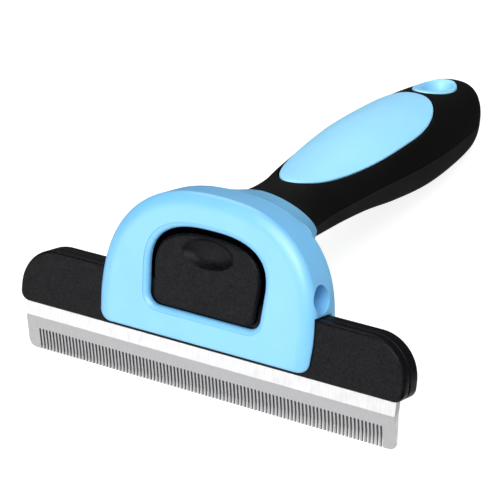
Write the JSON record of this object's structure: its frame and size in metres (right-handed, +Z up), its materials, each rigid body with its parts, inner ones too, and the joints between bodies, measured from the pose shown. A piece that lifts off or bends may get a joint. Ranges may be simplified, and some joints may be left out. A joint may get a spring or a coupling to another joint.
{
  "type": "pet deshedding tool",
  "caption": "Pet deshedding tool: a fine-toothed steel comb in a pull-out cartridge under an arched head, with a rocker release button and a rubber-covered, curved handle with a hanging eyelet.",
  "frame": {"origin": "centre of the bounding box's bottom, on the table that the tooth tips and the tail rest on", "axes": "+X along the comb, to the right when looking from the comb towards the tail, +Y from the comb back to the handle's tail, +Z up from the table"},
  "size_m": [0.1056, 0.1346, 0.0472],
  "materials": {
    "sky_plastic": "satin-gloss moulded sky blue",
    "pale_plastic": "satin moulded pale blue",
    "black_rubber": "soft matt black",
    "grey_rubber": "soft matt dark grey",
    "black_plastic": "finely textured black",
    "core_plastic": "plain moulded dark grey, hidden",
    "blade_steel": "bright ground stainless steel",
    "screw_steel": "plain bright steel"
  },
  "bodies": {
    "head_and_handle": {"head_front_cover": "sky_plastic", "head_rear_housing": "sky_plastic", "button_pivot_pin": "screw_steel", "button_spring_left": "screw_steel", "button_spring_right": "screw_steel", "head_screw_left": "screw_steel", "head_screw_right": "screw_steel", "neck_screw_left": "screw_steel", "neck_screw_right": "screw_steel", "handle_core_upper": "core_plastic", "handle_core_lower": "core_plastic", "handle_screw_1": "screw_steel", "handle_screw_2": "screw_steel", "handle_screw_3": "screw_steel", "grip_upper": "black_rubber", "grip_lower": "grey_rubber", "palm_inlay": "pale_plastic", "hang_eyelet": "pale_plastic"},
    "button": {"release_button": "black_plastic"},
    "comb_cartridge": {"cartridge_body": "black_plastic", "cartridge_face_plate": "black_plastic", "comb_blade": "blade_steel", "blade_rivet_1": "screw_steel", "blade_rivet_2": "screw_steel", "blade_rivet_3": "screw_steel", "blade_rivet_4": "screw_steel"}
  },
  "joints": [
    {"name": "button_press", "type": "hinge", "parent": "head_and_handle", "child": "button", "pos_m": [0, -0.05671, 0.02866], "axis": [-1, 0, 0], "range_deg": [0, 5], "stiffness_Nm_per_rad": 0.1, "springref_deg": -5.73, "deforming": ["button_spring_left", "button_spring_right"]},
    {"name": "cartridge_release", "type": "slide", "parent": "head_and_handle", "child": "comb_cartridge", "axis": [0, -0.3628, -0.9319], "range_m": [0, 0.025]}
  ]
}
